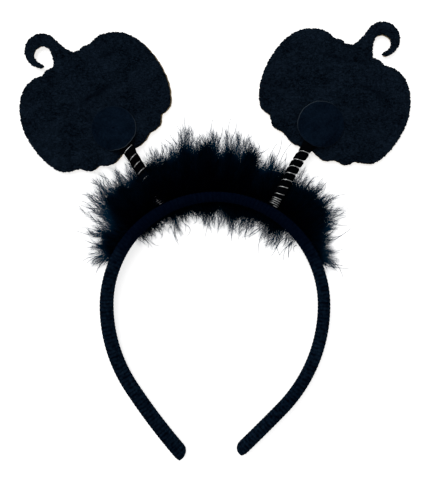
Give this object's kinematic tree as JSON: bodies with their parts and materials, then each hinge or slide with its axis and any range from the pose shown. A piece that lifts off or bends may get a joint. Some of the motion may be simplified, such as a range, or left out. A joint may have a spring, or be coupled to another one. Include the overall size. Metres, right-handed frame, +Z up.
{
  "type": "halloween headband",
  "caption": "Ribbed black headband with a marabou feather trim along its crown and felt pumpkin silhouettes on coil springs, lying face down.",
  "frame": {"origin": "on the surface that the headband lies on, under the middle of its box", "axes": "+Z up from the surface, +Y from the band's tips to the pumpkins' stems, +X to the right in the picture"},
  "size_m": [0.2245, 0.2499, 0.0147],
  "materials": {
    "ribbed_cover": "black ribbed ribbon",
    "marabou": "black marabou down",
    "core_cloth": "matt black cloth",
    "spring_steel": "bright drawn wire",
    "felt": "black brushed felt",
    "front_layer": "tan felt",
    "patch_cloth": "smooth black felt"
  },
  "bodies": {
    "root": {"headband": "ribbed_cover", "marabou_trim": "marabou", "left_spring_core": "core_cloth", "left_spring_wire": "spring_steel", "left_pumpkin_felt": "felt", "left_pumpkin_front": "front_layer", "left_patch": "patch_cloth", "right_spring_core": "core_cloth", "right_spring_wire": "spring_steel", "right_pumpkin_felt": "felt", "right_pumpkin_front": "front_layer", "right_patch": "patch_cloth"}
  },
  "joints": []
}
